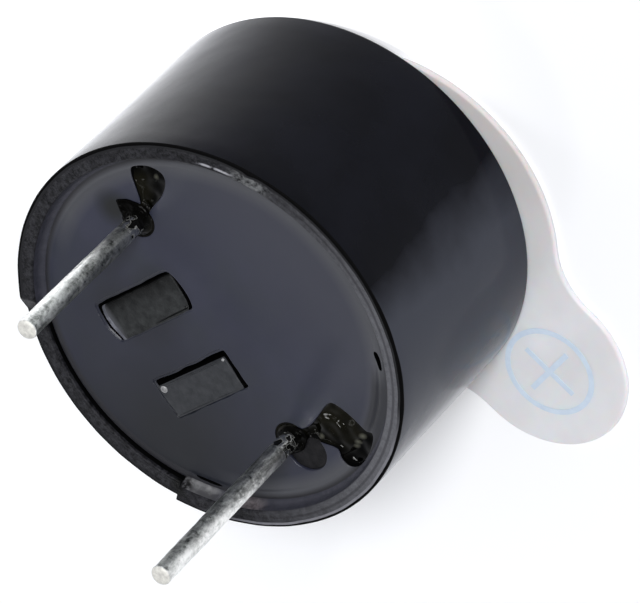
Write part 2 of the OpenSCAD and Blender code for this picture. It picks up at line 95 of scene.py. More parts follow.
# The wash seal and its print
SEAL_T, SEAL_EDGE = 0.2, 0.07
SEAL_X, SEAL_Y, TAB_HEADING = 0.8, 1.45, 15
DISC_R, TAB_R, TAB_REACH, TAB_FILLET = 5.2, 2.6, 5.9, 2.3
MARK_R, MARK_REACH, PLUS_SPAN, STROKE_W = 1.38, 6.18, 1.8, 0.16
INK_T, INK_PROUD = 0.03, 0.002

# ------ node helpers


SOCKETS = {"color": "Base Color", "rough": "Roughness", "metal": "Metallic",
           "spec": "Specular IOR Level"}


def direction(heading, elevation=0):
    """Unit vector towards a heading and an elevation in degrees."""
    h, e = math.radians(heading), math.radians(elevation)
    return Vector((math.cos(e) * math.cos(h), math.cos(e) * math.sin(h), math.sin(e)))


class Nodes:
    """Adds nodes to a material or a world."""

    def __init__(self, owner):
        owner.use_nodes = True
        self.owner = owner
        self.tree = owner.node_tree

    def put(self, node, socket, value):
        """Sets a socket to a value, or links another node's socket to it."""
        target = node.inputs[socket]
        if isinstance(value, bpy.types.NodeSocket):
            self.tree.links.new(value, target)
        elif target.type == "RGBA":
            target.default_value = (*value, 1)
        else:
            target.default_value = value

    def add(self, kind, output, inputs, **settings):
        """Adds a node, fills some inputs by name or number, and returns one of its outputs."""
        node = self.tree.nodes.new("ShaderNode" + kind)
        for key, value in settings.items():
            setattr(node, key, value)
        for socket, value in inputs.items():
            self.put(node, socket, value)
        return node.outputs[output]

    def coords(self, scale=(1, 1, 1)):
        """Object coordinates in millimetres, stretched by scale."""
        position = self.add("TexCoord", "Object", {})
        return self.add("Mapping", "Vector", {"Vector": position, "Scale": [s / MM for s in scale]})

    def noise(self, scale, detail=3, rough=0.5, stretch=(1, 1, 1)):
        inputs = {"Scale": scale, "Detail": detail, "Roughness": rough}
        return self.add("TexNoise", "Fac", {"Vector": self.coords(stretch), **inputs})

    def remap(self, value, from_low, from_high, to_low=0, to_high=1):
        inputs = enumerate((value, from_low, from_high, to_low, to_high))
        return self.add("MapRange", "Result", dict(inputs))

    def measure(self, operation, vector, other=(0, 0, 0)):
        """A number made from two vectors in millimetres."""
        return self.add("VectorMath", "Value", {0: vector, 1: other}, operation=operation)

    def spot(self, place, near, far):
        """1 within near of a place, falling to 0 at far, in millimetres."""
        return self.remap(self.measure("DISTANCE", self.coords(), place), near, far, 1, 0)

    def mark(self, x, y, near, far):
        """1 within near of an upright line at a place, falling to 0 at far, in millimetres."""
        off = self.measure("DISTANCE", self.coords((1, 1, 0)), (x, y, 0))
        return self.remap(off, near, far, 1, 0)

    def radius(self):
        """Distance from the part's axis, in millimetres."""
        return self.measure("LENGTH", self.coords((1, 1, 0)))

    def along(self, heading):
        """Distance from the part's axis towards a heading in degrees, in millimetres."""
        return self.measure("DOT_PRODUCT", self.coords(), direction(heading))

    def line(self, radius, half_width):
        """1 on a circle round the part's axis, falling to 0 at half_width from it."""
        off = self.math("ABSOLUTE", self.math("SUBTRACT", self.radius(), radius))
        return self.remap(off, half_width * 0.4, half_width, 1, 0)

    def math(self, operation, a, b=0):
        return self.add("Math", 0, {0: a, 1: b}, operation=operation)

    def times(self, a, b):
        return self.math("MULTIPLY", a, b)

    def plus(self, a, b):
        return self.math("ADD", a, b)

    def mix(self, factor, a, b):
        """Mix of two colours: a where the factor is 0 and b where it is 1."""
        return self.add("Mix", 2, {0: factor, 6: a, 7: b}, data_type="RGBA")

    def tones(self, grain, low, high):
        """Mottle of two colours that follows a noise."""
        return self.mix(self.remap(grain, 0.35, 0.65), low, high)

    def bump(self, height, depth, normal=None):
        """Bump whose full height is depth, on top of another one."""
        inputs = {"Height": height, "Strength": 1, "Distance": depth * MM}
        if normal:
            inputs["Normal"] = normal
        return self.add("Bump", "Normal", inputs)

    def finish(self, color, **sockets):
        """Sets the surface's sockets, by short or full name, and returns the material."""
        shader = self.tree.nodes["Principled BSDF"]
        for key, value in {"color": color, **sockets}.items():
            self.put(shader, SOCKETS.get(key, key.replace("_", " ").title()), value)
        return self.owner


# ------ materials


def case_plastic(n):
    """Glossy black moulded plastic with a faint fine grain, and a painted reflection: lighter down one
    side of the wall.
    """
    cloud = n.noise(0.45, 4)
    grain = n.noise(9.0, 4, 0.6)
    color = n.tones(cloud, (0.0012, 0.0014, 0.003), (0.0028, 0.0031, 0.0058))
    # Painted reflection: the wall is lighter down one side, with a cloudy edge.
    side = n.plus(n.along(52), n.remap(cloud, 0.3, 0.7, -0.15, 0.15))
    color = n.mix(n.remap(side, 4.95, 5.75), color, (0.036, 0.039, 0.05))
    rough = n.remap(grain, 0.3, 0.7, 0.12, 0.18)
    swell = n.bump(n.noise(0.6, 2), 0.02)
    fine = n.bump(grain, 0.0015, swell)
    return n.finish(color, rough=rough, normal=fine, spec=0.06, sheen_weight=0.12,
                    sheen_roughness=0.22, sheen_tint=(0.9, 0.92, 1.0))


def rim_plastic(n):
    """The same plastic at the rim, mottled, with painted light: paler on one side, a painted highlight
    on the burr, painted highlights in dashes along the inner edge, and painted shade at the notch's
    end.
    """
    mottle = n.noise(7.0, 6, 0.75)
    broad = n.noise(1.6)
    shade = n.remap(mottle, 0.4, 0.6)
    dark = n.mix(shade, (0.001, 0.001, 0.002), (0.025, 0.025, 0.03))
    painted_pale = n.mix(shade, (0.086, 0.087, 0.098), (0.115, 0.117, 0.13))
    painted_pale = n.mix(n.line(5.7, 0.05), painted_pale, (0.055, 0.055, 0.063))
    # Painted light: the rim is paler on one side, broken up by a broad noise.
    tone_patch = n.times(n.spot((3.9, 4.4, 7.2), 2.5, 7.4), n.remap(broad, 0.3, 0.5, 0.85, 1))
    color = n.mix(tone_patch, dark, painted_pale)
    # Painted highlight on the burr.
    painted_highlight = n.times(n.spot((-3.35, 4.6, 7.2), 0.25, 0.75), shade)
    color = n.mix(painted_highlight, color, (0.16, 0.165, 0.17))
    # Painted highlight: pale dashes along the rim's inner edge.
    painted_edge_glint = n.times(n.line(5.62, 0.045), n.spot((-4.1, 3.85, 7.2), 0.35, 0.65))
    painted_edge_glint = n.times(painted_edge_glint, n.remap(n.noise(3.5, 3, 0.6), 0.4, 0.56))
    color = n.mix(painted_edge_glint, color, (0.34, 0.34, 0.37))
    # Painted shade: black at the rim's end beside the notch.
    notch_end_shade = n.times(n.mark(3.52, -4.38, 0.16, 0.36), n.remap(mottle, 0.36, 0.48))
    color = n.mix(notch_end_shade, color, (0.0005, 0.0005, 0.0005))
    rough = n.remap(broad, 0.35, 0.65, 0.3, 0.46)
    normal = n.bump(mottle, 0.03, n.bump(broad, 0.05))
    return n.finish(color, rough=rough, normal=normal, spec=0.15)


def rim_edge(n):
    """The rim's outer edge, with a painted highlight along one side."""
    nicks_and_painted_light = n.noise(2.6, 5, 0.75)
    # Painted highlight: the edge is bright on one side, broken up by the nicks.
    painted_highlight = n.times(n.spot((6.2, 0.2, 7.1), 3.2, 4.8), n.remap(nicks_and_painted_light, 0.3, 0.5, 0.6, 1))
    color = n.mix(painted_highlight, (0.01, 0.01, 0.012), (0.17, 0.17, 0.19))
    return n.finish(color, rough=n.remap(nicks_and_painted_light, 0.4, 0.6, 0.4, 0.3),
                    normal=n.bump(nicks_and_painted_light, 0.02), spec=0.15)


def lip_wall(n):
    """The unpolished wall inside the lip, with a painted highlight and black spots of painted shade at
    the notch's end.
    """
    mottle = n.noise(5.0, 5, 0.7)
    shade = n.remap(mottle, 0.4, 0.6)
    dull = n.mix(shade, (0.023, 0.024, 0.034), (0.035, 0.035, 0.048))
    pink = n.mix(shade, (0.07, 0.06, 0.066), (0.17, 0.15, 0.158))
    # Painted highlight: the wall is bright near the notch's end.
    bright = n.mix(n.remap(n.noise(2.5), 0.4, 0.6), (0.06, 0.06, 0.065), (0.17, 0.17, 0.175))
    color = n.mix(n.spot((4.95, -2.65, 7.0), 0.2, 0.6), dull, pink)
    color = n.mix(n.spot((4.0, -4.1, 7.0), 0.5, 0.95), color, bright)
    # Painted shade: black spots with a ragged edge at the notch's end.
    ragged = n.remap(n.noise(4.0, 4, 0.7), 0.4, 0.5)
    nicks_and_painted_light = n.times(ragged, n.spot((3.48, -4.26, 7.05), 0.24, 0.4))
    color = n.mix(nicks_and_painted_light, color, (0.001, 0.001, 0.001))
    return n.finish(color, rough=0.5, normal=n.bump(mottle, 0.02), spec=0.3)


def cover_plastic(n):
    """Smooth satin slate plastic with soft cloudy tints, and painted light and shade: lighter towards
    the near side with a painted highlight band at the edge, and painted shade towards one edge, beside
    the lip, the negative lead and the diode's window.
    """
    cloud = n.noise(0.35)
    tint = n.noise(0.8, 2)
    base = n.tones(cloud, (0.017, 0.0192, 0.036), (0.025, 0.0272, 0.048))
    color = n.mix(n.remap(tint, 0.45, 0.75, 0, 0.6), base, (0.019, 0.024, 0.031))
    # Painted shade: darker towards one edge of the cover. Painted light: lighter towards the near
    # side.
    color = n.mix(n.spot((2.4, -3.8, 6.8), 0.8, 5.0), color, (0.0065, 0.0078, 0.012))
    color = n.mix(n.remap(n.along(100), 1.0, 4.0), color, (0.034, 0.036, 0.052))
    # Painted highlight: a pale band along the cover's edge on the near side.
    upper = n.remap(n.along(90), -3.2, -2.0)
    band = n.times(n.remap(n.radius(), 4.62, 5.04), upper)
    color = n.mix(band, color, (0.06, 0.062, 0.072))
    # Painted shade: darker where the cover meets the lip.
    color = n.mix(n.remap(n.radius(), 5.16, 5.3), color, (0.014, 0.014, 0.018))
    # A darker patch at the cover's edge beside the slit.
    tone_patch = n.times(n.remap(n.radius(), 4.76, 4.86), n.mark(3.8, 3.3, 0.7, 1.4))
    color = n.mix(tone_patch, color, (0.02, 0.021, 0.027))
    # Painted shade: a dark halo beside the negative lead.
    lead_shade = n.times(n.mark(-4.25, -0.45, 0.2, 0.7), 0.85)
    color = n.mix(lead_shade, color, (0.002, 0.003, 0.001))
    shade = n.times(n.remap(n.along(0), -2.55, -1.95, 0, 0.55), n.mark(-1.9, -1.7, 0.9, 1.9))
    color = n.mix(shade, color, (0.003, 0.003, 0.004))
    rough = n.remap(n.noise(6.0, 4, 0.6), 0.3, 0.7, 0.3, 0.4)
    swell = n.bump(n.noise(0.5, 2), 0.03)
    return n.finish(color, rough=rough, normal=n.bump(n.noise(14.0), 0.0015, swell), spec=0.45)


def epoxy(n, mottle, color, depth, spec):
    """The matte surface of moulded epoxy, mottled as its colour is."""
    normal = n.bump(mottle, depth, n.bump(n.noise(14.0), 0.006))
    return n.finish(color, rough=n.remap(mottle, 0.3, 0.7, 0.6, 0.42), normal=normal, spec=spec)


def component_black(n):
    """Moulded epoxy with a matte mottled face."""
    mottle = n.noise(4.0, 5, 0.6)
    color = n.tones(mottle, (0.02, 0.022, 0.026), (0.032, 0.034, 0.039))
    return epoxy(n, mottle, color, 0.02, 0.3)


def diode_black(n):
    """Darker moulded epoxy, with painted shadow along one side, and dull grey at its far end."""
    mottle = n.noise(4.0, 5, 0.6)
    color = n.tones(mottle, (0.014, 0.015, 0.016), (0.03, 0.032, 0.033))
    # Painted shadow: darker along the window's shaded side, with a cloudy edge.
    wall_shadow = n.plus(n.along(0), n.remap(n.noise(1.5, 2), 0.3, 0.7, -0.14, 0.14))
    color = n.mix(n.remap(wall_shadow, -1.95, -1.4, 1, 0), color, (0.0005, 0.0005, 0.0005))
    color = n.mix(n.remap(n.along(90), -3.06, -2.92, 0.6, 0), color, (0.09, 0.092, 0.105))
    return epoxy(n, mottle, color, 0.03, 0.16)


def mottled(n, grain, low, high, depth, **sockets):
    """A surface of two tones, with bumps where it is light."""
    return n.finish(n.tones(grain, low, high), normal=n.bump(grain, depth), **sockets)


def cap_metal(n):
    """A metal end dulled by flux."""
    return mottled(n, n.noise(5.0), (0.085, 0.088, 0.105), (0.18, 0.185, 0.215), 0.02,
                   rough=0.5, metal=0.2, spec=0.2)


def sealant(n):
    """Glossy olive-black sealant, with painted shade where it lies deep at the ports' far ends, and
    painted highlights in pale spots.
    """
    cloud = n.noise(1.1, 2)
    color = n.mix(n.remap(cloud, 0.4, 0.65), (0.0006, 0.0006, 0.0005), (0.0055, 0.005, 0.0026))
    # Painted shade: black where the sealant lies deep at the ports' far ends.
    color = n.mix(n.remap(n.radius(), 4.75, 5.0), color, (0.0001, 0.0001, 0.0001))
    # Painted highlights: pale spots on the sealant.
    for x, y, size in ((4.42, 2.1, 0.075), (4.52, 1.84, 0.07), (4.61, 1.7, 0.06),
                             (3.94, 0.89, 0.06), (-4.46, 1.4, 0.06)):
        painted_pale = n.times(n.mark(x, y, 0, size * 1.7), n.remap(cloud, 0.3, 0.6, 0.6, 1))
        color = n.mix(painted_pale, color, (0.1, 0.1, 0.08))
    normal = n.bump(n.noise(1.8, 1, 0.4), 0.02)
    return n.finish(color, rough=0.09, normal=normal, spec=0.1)


def sealant_dark(n):
    """Thick black sealant heaped round a lead."""
    normal = n.bump(n.noise(4.0, 2), 0.05)
    color = n.mix(n.noise(5.0), (0.0003, 0.0003, 0.0003), (0.0022, 0.0021, 0.0018))
    return n.finish(color, rough=0.12, normal=normal, spec=0.03)


def fleck(n):
    """A drop of solder dulled by flux."""
    return mottled(n, n.noise(6.0), (0.16, 0.16, 0.165), (0.42, 0.42, 0.43), 0.03,
                   rough=0.45, metal=0.3, spec=0.4)


def painted_shade_black(n):
    """Painted shade: near-black for moulded faces in the shade of a window or a ledge."""
    mottle = n.noise(5.0)
    color = n.mix(mottle, (0.0002, 0.0002, 0.0002), (0.0012, 0.0012, 0.0014))
    return n.finish(color, rough=0.7, normal=n.bump(mottle, 0.01), spec=0.05)


def sealant_matte(n):
    """Sealant that has soaked into a pocket's rough floor."""
    return mottled(n, n.noise(5.0, 4, 0.6), (0.003, 0.003, 0.004), (0.01, 0.0095, 0.011), 0.02,
                   rough=0.62, spec=0.2)


def facing_sides(n):
    """1 on the sides of the leads that face each other, 0 on their outer sides."""
    across = n.along(15)
    outward = n.math("SUBTRACT", n.math("ABSOLUTE", across), LEAD_X * math.cos(math.radians(15)))
    return n.remap(n.plus(outward, n.times(across, 0.022)), 0.02, 0.18, 1, 0)


def lead_wire(n):
    """Hot-dipped tin: bright on the outer sides, darker and speckled on the sides that face each
    other.
    """
    runs = n.noise(3.0, 4, 0.6, stretch=(1.6, 1.6, 0.5))
    grain = n.noise(7.0, 4, 0.7)
    shade = n.remap(n.plus(n.times(runs, 0.5), n.times(grain, 0.5)), 0.4, 0.58)
    outer_tone = n.mix(shade, (0.52, 0.53, 0.51), (0.95, 0.95, 0.93))
    inner_tone = n.mix(shade, (0.17, 0.18, 0.17), (0.66, 0.68, 0.66))
    color = n.mix(facing_sides(n), outer_tone, inner_tone)
    rough = n.remap(grain, 0.3, 0.7, 0.26, 0.4)
    normal = n.bump(grain, 0.02, n.bump(runs, 0.04))
    return n.finish(color, rough=rough, metal=1.0, normal=normal)


def lead_wire_bare(n):
    """The lead below the tin, under a film of black sealant that bright specks show through."""
    specks = n.noise(4.5, 1)
    height = n.add("SeparateXYZ", "Z", {0: n.coords()})
    bare = n.remap(height, Z_BASE + 0.1, Z_TIN, -0.03, 0.06)
    shown = n.remap(n.plus(specks, bare), 0.49, 0.54)
    color = n.mix(shown, (0.003, 0.003, 0.003), (0.72, 0.73, 0.7))
    return n.finish(color, rough=0.25, metal=n.remap(shown, 0, 1, 0.1, 1.0),
                    normal=n.bump(specks, 0.07), spec=0.2)


def seal_film(n):
    """Slightly translucent white film, with painted shade: darker and warmer towards the case."""
    cloud = n.noise(0.4)
    color = n.tones(cloud, (0.655, 0.648, 0.668), (0.725, 0.722, 0.75))
    # Painted shade: darker and warmer towards the case.
    color = n.mix(n.remap(n.along(15), 6.5, 2.5, 0, 0.7), color, (0.5, 0.475, 0.46))
    normal = n.bump(n.noise(7.0), 0.004, n.bump(n.noise(0.5, 2), 0.05))
    return n.finish(color, rough=n.remap(n.noise(3.0), 0.3, 0.7, 0.42, 0.55), spec=0.4,
                    subsurface_weight=0.35, subsurface_scale=0.4 * MM, normal=normal)


def plain(n, low, high, scale, rough, metal=0, depth=0.01, stretch=(1, 1, 1)):
    """A surface of two tones whose roughness follows them too."""
    grain = n.noise(scale, 4, 0.6, stretch=stretch)
    return mottled(n, grain, low, high, depth, metal=metal,
                   rough=n.remap(grain, 0.3, 0.7, rough - 0.06, rough + 0.06))


FINISHES = [case_plastic, rim_plastic, rim_edge, lip_wall, cover_plastic, component_black,
            diode_black, cap_metal, sealant, sealant_matte, sealant_dark, painted_shade_black, fleck,
            lead_wire, lead_wire_bare, seal_film]
# Dark and light tone, scale of the grain and roughness, then the rest of what plain() takes
PLAIN_FINISHES = {
    "spring_steel": ((0.5, 0.5, 0.51), (0.66, 0.66, 0.67), 4, 0.26, 1.0, 0.004, (1, 8, 1)),
    "iron": ((0.3, 0.31, 0.33), (0.46, 0.47, 0.49), 3, 0.42, 1.0),
    "ring_plastic": ((0.62, 0.59, 0.49), (0.72, 0.69, 0.6), 2, 0.5),
    "ferrite": ((0.045, 0.038, 0.034), (0.075, 0.065, 0.058), 6, 0.6),
    "bobbin_plastic": ((0.72, 0.7, 0.64), (0.81, 0.79, 0.73), 2, 0.45),
    "copper_wire": ((0.44, 0.15, 0.04), (0.62, 0.24, 0.08), 10, 0.3, 0.9, 0.02, (0.1, 0.1, 1)),
    "board": ((0.022, 0.12, 0.045), (0.035, 0.17, 0.07), 3, 0.38),
    "tinned_metal": ((0.5, 0.51, 0.52), (0.7, 0.71, 0.72), 8, 0.32, 1.0),
    "cut_end": ((0.5, 0.49, 0.46), (0.76, 0.75, 0.7), 7, 0.5, 0.1),
    "solder": ((0.52, 0.53, 0.55), (0.7, 0.71, 0.73), 4, 0.24, 1.0),
    "resistor_ceramic": ((0.012, 0.012, 0.016), (0.028, 0.028, 0.034), 6, 0.35),
    "print_ink": ((0.52, 0.61, 0.73), (0.58, 0.67, 0.78), 3, 0.55),
}


def make_materials():
    """All materials by name."""
    made = {}
    for build in FINISHES:
        made[build.__name__] = build(Nodes(bpy.data.materials.new(build.__name__)))
    for name, look in PLAIN_FINISHES.items():
        made[name] = plain(Nodes(bpy.data.materials.new(name)), *look)
    return made


MATERIALS = make_materials()

# ------ mesh helpers


def add_object(name, data):
    obj = bpy.data.objects.new(name, data)
    bpy.context.scene.collection.objects.link(obj)
    return obj


def make_piece(name, verts, faces, materials, replaces, indices=None, sharp=38):
    """A new piece from vertices in millimetres, which stands for the CAD nodes named."""
    mesh = bpy.data.meshes.new(name)
    mesh.from_pydata((np.asarray(verts, float) * MM).tolist(), [], [list(f) for f in faces])
    for material in materials:
        mesh.materials.append(MATERIALS[material])
    if indices is not None:
        mesh.polygons.foreach_set("material_index", indices)
    mesh.polygons.foreach_set("use_smooth", [True] * len(mesh.polygons))
    mesh.set_sharp_from_angle(angle=math.radians(sharp))
    mesh.validate()
    obj = add_object(name, mesh)
    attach(obj, "root")
    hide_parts(*replaces)


def grid_faces(columns, rows):
    """Quads of a grid that closes both ways: vertex (column, row) is column * rows + row."""
    faces = []
    for c in range(columns):
        d = (c + 1) % columns
        for r in range(rows):
            s = (r + 1) % rows
            faces.append((c * rows + r, d * rows + r, d * rows + s, c * rows + s))
    return faces


def unit(angle):
    """Cosine and sine of an angle in degrees."""
    return math.cos(math.radians(angle)), math.sin(math.radians(angle))


def wobble(x, y, z, scale, seed=0):
    """Smooth noise from -1 to 1 at a place in millimetres."""
    return noise.noise(Vector((x * scale + seed, y * scale - seed, z * scale + 2 * seed)))


def waves(points, scale, seed, z=0):
    """The smooth noise at each point of a drawing."""
    return np.array([wobble(x, y, z, scale, seed) for x, y in points])


def away(points, x=0, y=0):
    """Distance of each point of a drawing from a place."""
    return np.linalg.norm(points - (x, y), axis=1)


def lattice(low, high, step):
    """Points of a square lattice between two corners."""
    return [(x, y) for x in np.arange(low[0], high[0], step) for y in np.arange(low[1], high[1], step)]


def round_edge(inset, edge):
    """How far a rounded edge lies below its face, at a distance in from the outline."""
    inset = np.clip(inset, 0, edge)
    return edge - np.sqrt(np.maximum(edge ** 2 - (edge - inset) ** 2, 0))


# ------ case


# The case's finishes, and their numbers in that list
CASE_FINISHES = ["case_plastic", "rim_plastic", "rim_edge", "lip_wall", "painted_shade_black"]
OUTSIDE, RIM, EDGE, LIP, SHADED = range(5)


def bump_at(angle, middle, half_width):
    """1 at the middle angle, 0 beyond half_width, in degrees."""
    off = abs((angle - middle + 180) % 360 - 180) / half_width
    return 0.0 if off >= 1 else 0.5 + 0.5 * math.cos(math.pi * off)


def in_notch(angle):
    """0 outside the notch in the rim, 1 inside: one end slopes and the other is steep."""
    slope, steep, early = 4.5, 0.7, 1.5
    rise = np.clip((angle - NOTCH_FROM + early) / slope, 0, 1)
    fall = np.clip((NOTCH_TO - angle + steep / 2) / steep, 0, 1)
    return float(min(rise, fall))


def case_angles():
    """Even steps round the case, with closer ones at the notch's ends."""
    steps = list(np.arange(-180, 180, 0.6))
    for end in (NOTCH_FROM, NOTCH_TO):
        steps += [end + d for d in (-0.5, -0.35, -0.2, 0.0, 0.2, 0.35, 0.5)]
    return sorted({round(a, 3) for a in steps})


def quarter(first, last):
    """Sine and one less cosine over a quarter turn, at steps first to last."""
    turns = [math.radians(90 * i / last) for i in range(first, last + 1)]
    return [(math.sin(t), 1 - math.cos(t)) for t in turns]


def case_profile(angle):
    """The wall's outline at an angle, once round, and the finish of the face up to each point."""
    cut = in_notch(angle)
    bow = NOTCH_BOW * math.sin(math.radians(1.3 * (angle - NOTCH_MIDDLE)))
    top = Z_RIM + (Z_BASE + NOTCH_RISE - NOTCH_BOW / 2 + bow - Z_RIM) * cut
    x, y = unit(angle)
    burr = BURR_RISE * (bump_at(angle, 127, 3.5) * (0.6 + 0.8 * wobble(9 * x, 9 * y, 0, 2.0)))
    bevel = RIM_BEVEL * (1 + 0.35 * wobble(6 * x, 6 * y, 0, 1.4))
    points, kinds = [], []

    def put(r, z, kind=OUTSIDE):
        points.append((r, z))
        kinds.append(kind)

    # The rounded front edge, the outside and the rim's outer bevel
    low = Z_FRONT + FRONT_ROUND
    for i in range(9):
        t = math.radians(-90 + 90 * i / 8)
        put(CASE_R - FRONT_ROUND + FRONT_ROUND * math.cos(t), low + FRONT_ROUND * math.sin(t))
    for i in range(1, 12):
        z = low + (top - bevel - low) * i / 12
        put(CASE_R + 0.006 * wobble(6 * x, 6 * y, z, 0.7), z)
    put(CASE_R, top - bevel)
    # The outer bevel and the rim's shoulder take the painted shade black.
    for rise, fall in quarter(1, 6):
        put(CASE_R - bevel * fall, top - bevel * (1 - rise) + burr * rise, SHADED)
    # The rim, from its shoulder to its inner bevel
    outer, inner = CASE_R - bevel, BORE_R + INNER_BEVEL
    put(outer - 0.02, top + burr, SHADED)
    outer -= RIM_SHOULDER
    put(outer, top + burr, EDGE)
    for i in range(1, 8):
        r = outer + (inner - outer) * i / 8
        sag = 0.012 * (wobble(r * x, r * y, 0, 2.2, 3) - 0.4)
        put(r, top + sag + burr * (1 - i / 8), RIM)
    for rise, fall in quarter(0, 3):
        put(inner - INNER_BEVEL * rise, top - INNER_BEVEL * fall, RIM)
    # The wall inside the lip, which spreads to a foot on the cover, and the bore
    sealed = 1 - cut
    lip = top - INNER_BEVEL
    # In the notch, the lower part of the wall takes the painted shade black.
    for i, (rise, fall) in enumerate(quarter(1, 6)):
        inside = LIP if cut < 0.5 else (RIM if i < 2 else SHADED)
        put(BORE_R - FOOT_W * sealed * fall, lip - (lip - Z_BASE - 0.002) * rise, inside)
    put(BORE_R - FOOT_W * sealed * 0.999, Z_BASE - 0.01 - FOOT_DROP * (1 - sealed), inside)
    put(BORE_R, Z_BASE - FOOT_DEPTH, inside)
    put(BORE_R, Z_CHAMBER)
    put(SOUND_HOLE_R, Z_CHAMBER)
    put(SOUND_HOLE_R, Z_FRONT)
    return points, kinds


def build_case():
    verts, indices = [], []
    angles = case_angles()
    for angle in angles:
        points, kinds = case_profile(angle)
        indices += kinds[1:] + kinds[:1]
        x, y = unit(angle)
        verts += [(r * x, r * y, z) for r, z in points]
    make_piece("case_shell", verts, grid_faces(len(angles), len(kinds)), CASE_FINISHES,
               ["case"], indices, sharp=50)


build_case()

# ------ outlines on the base


def circle(cx, cy, r, count):
    """A circle, turned a little so that its points don't fall on other lines."""
    t = 0.03 + np.arange(count) * 2 * math.pi / count
    return np.column_stack([cx + r * np.cos(t), cy + r * np.sin(t)])


def rounded_window(cx, cy, half_w, half_l, corner, bow):
    """A window with round corners whose two short ends bulge by bow."""
    points = []
    for sx, sy, start in ((1, 1, 0), (-1, 1, 90), (-1, -1, 180), (1, -1, 270)):
        for i in range(7):
            t = math.radians(start + 15 * i)
            points.append((sx * (half_w - corner) + corner * math.cos(t),
                           sy * (half_l - corner) + corner * math.sin(t)))
        if start in (0, 180):
            points += [(sx * (half_w - corner) * (1 - i / 6), sy * half_l) for i in range(1, 12)]
    out = np.array(points)
    share = 1 - (out[:, 0] / half_w) ** 2
    end = np.abs(out[:, 1]) > half_l - corner - 1e-6
    out[:, 1] += np.where(end, np.sign(out[:, 1]) * bow * share, 0)
    return out + (cx, cy)


def resample(points, step):
    """A closed line with points about step apart."""
    out = []
    for a, b in zip(points, np.roll(points, -1, axis=0)):
        count = max(1, int(round(np.linalg.norm(b - a) / step)))
        out += [a + (b - a) * i / count for i in range(count)]
    return np.array(out)


def smooth_closed(points, passes):
    """A closed line with each point moved towards its neighbours, some times over."""
    for _ in range(passes):
        points = (np.roll(points, 1, axis=0) + 2 * points + np.roll(points, -1, axis=0)) / 4
    return points


def grown(points, distance):
    """A closed, counter-clockwise line moved outwards by distance."""
    along = np.roll(points, -1, axis=0) - np.roll(points, 1, axis=0)
    along /= np.linalg.norm(along, axis=1)[:, None]
    return points + distance * np.column_stack([along[:, 1], -along[:, 0]])


def rounded_outline(corners, passes=7):
    """A smooth closed line near the corners, which run counter-clockwise."""
    return smooth_closed(resample(np.array(corners, float), 0.05), passes)


def curved_outline(corners):
    """A smooth closed line through the corners, which run counter-clockwise."""
    p = np.array(corners, float)
    before, after, beyond = (np.roll(p, shift, axis=0) for shift in (1, -1, -2))
    share = np.arange(0, 1, 0.125)[:, None, None]
    curve = p + 0.5 * ((after - before) * share
                       + (2 * before - 5 * p + 4 * after - beyond) * share ** 2
                       + (3 * p - before - 3 * after + beyond) * share ** 3)
    line = curve.transpose(1, 0, 2).reshape(-1, 2)
    return smooth_closed(resample(line, 0.05), 2)


def uneven(line, amount, seed):
    """The line with its points moved by smooth noise, as a moulded or a torn edge is."""
    return line + amount * np.column_stack([waves(line, 2.2, seed, z) for z in (0, 5)])


def mirrored(line):
    """The line on the other side of the y axis, counter-clockwise again."""
    return (line * (-1, 1))[::-1]


def signed_distance(points, line):
    """Distance of each point from a closed line: negative inside."""
    out = np.full(len(points), np.inf)
    inside = np.zeros(len(points), bool)
    for start, end in zip(line, np.roll(line, -1, axis=0)):
        edge = end - start
        rel = points - start
        t = np.clip((rel @ edge) / max(edge @ edge, 1e-12), 0, 1)
        out = np.minimum(out, np.linalg.norm(rel - t[:, None] * edge, axis=1))
        crosses = (start[1] > points[:, 1]) != (end[1] > points[:, 1])
        rise = end[1] - start[1] if end[1] != start[1] else 1e-12
        inside ^= crosses & (points[:, 0] < start[0] + (points[:, 1] - start[1]) * edge[0] / rise)
    return np.where(inside, -out, out)


def inside_any(points, lines, margin=0):
    """Which points lie in any of the closed lines, further in than a margin."""
    return np.any([signed_distance(points, line) < -margin for line in lines], axis=0)


def triangulate(loops, loose):
    """Triangles over closed lines and loose points: (points, triangles)."""
    points, edges = [], []
    for line in loops:
        first = len(points)
        points += [Vector(p) for p in line]
        edges += [(first + i, first + (i + 1) % len(line)) for i in range(len(line))]
    points += [Vector(p) for p in loose]
    out = delaunay_2d_cdt(points, edges, [], 0, 1e-5)
    return np.array([(p.x, p.y) for p in out[0]]), np.array(out[2])


def solid_from_field(points, triangles, keep, top, bottom):
    """Closed solid between two heights over the triangles that are kept."""
    triangles = triangles[keep]
    used = np.unique(triangles)
    number = np.full(len(points), -1)
    number[used] = np.arange(len(used))
    triangles = number[triangles]
    a, b, c = (points[used][triangles[:, i]] for i in range(3))
    turn = (b - a)[:, 0] * (c - a)[:, 1] - (b - a)[:, 1] * (c - a)[:, 0]
    triangles[turn < 0] = triangles[turn < 0][:, ::-1]
    count = len(used)
    verts = np.vstack([np.column_stack([points, height])[used] for height in (top, bottom)])
    faces = [tuple(t) for t in triangles] + [tuple(t[::-1] + count) for t in triangles]
    edges = dict.fromkeys((t[i], t[(i + 1) % 3]) for t in triangles for i in range(3))
    faces += [(j, i, i + count, j + count) for i, j in edges if (j, i) not in edges]
    return verts, faces, len(triangles)


def centres(points, triangles):
    """The middle of each triangle."""
    return points[triangles].mean(axis=1)


# The cover's windows, and the bodies that show in them: middle, half width and half length,
# corner and bow of the ends
WINDOWS = [uneven(resample(rounded_window(*sizes), 0.06), 0.035, 4)
           for sizes in ((-1.41, -1.715, 0.62, 1.445, 0.06, 0.14),
                         (1.22, -1.64, 0.6, 1.41, 0.05, 0))]
DIODE = uneven(rounded_window(-1.355, -1.755, 0.58, 1.36, 0.06, 0.08), 0.03, 9)
TRANSISTOR = uneven(rounded_window(1.3, -1.72, 0.52, 1.345, 0.05, 0), 0.03, 6)
